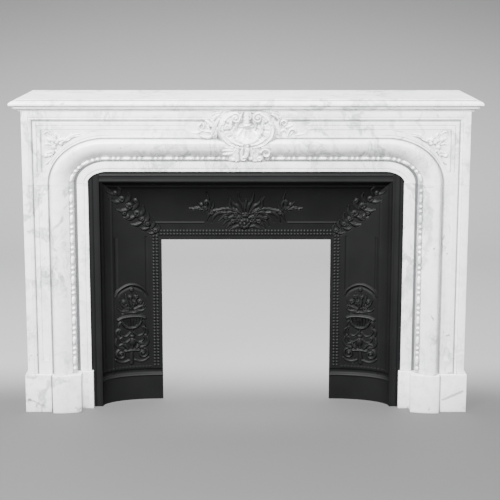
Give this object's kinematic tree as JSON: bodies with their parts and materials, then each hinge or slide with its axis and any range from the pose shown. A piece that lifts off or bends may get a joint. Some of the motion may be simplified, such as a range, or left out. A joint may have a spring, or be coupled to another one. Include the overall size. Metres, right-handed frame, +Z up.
{
  "type": "marble fireplace",
  "caption": "Carved white marble chimneypiece with moulded shelf, bead rows, shell cartouche and corner sprays, round a coved cast-iron insert open to the hearth.",
  "frame": {"origin": "on the floor, under the middle of the whole part's box", "axes": "+X to the right seen from the front, +Y from the front to the wall, +Z up"},
  "size_m": [1.586, 0.366, 1.0968],
  "materials": {
    "white_marble": "honed white marble with soft grey veins and a few dark specks",
    "black_iron": "blacked, satin"
  },
  "bodies": {
    "root": {"mantel_shelf": "white_marble", "frieze": "white_marble", "jamb_left": "white_marble", "jamb_right": "white_marble", "plinth_left": "white_marble", "plinth_right": "white_marble", "return_left": "white_marble", "return_right": "white_marble", "iron_header": "black_iron", "iron_cheek_left": "black_iron", "iron_cheek_right": "black_iron"}
  },
  "joints": []
}
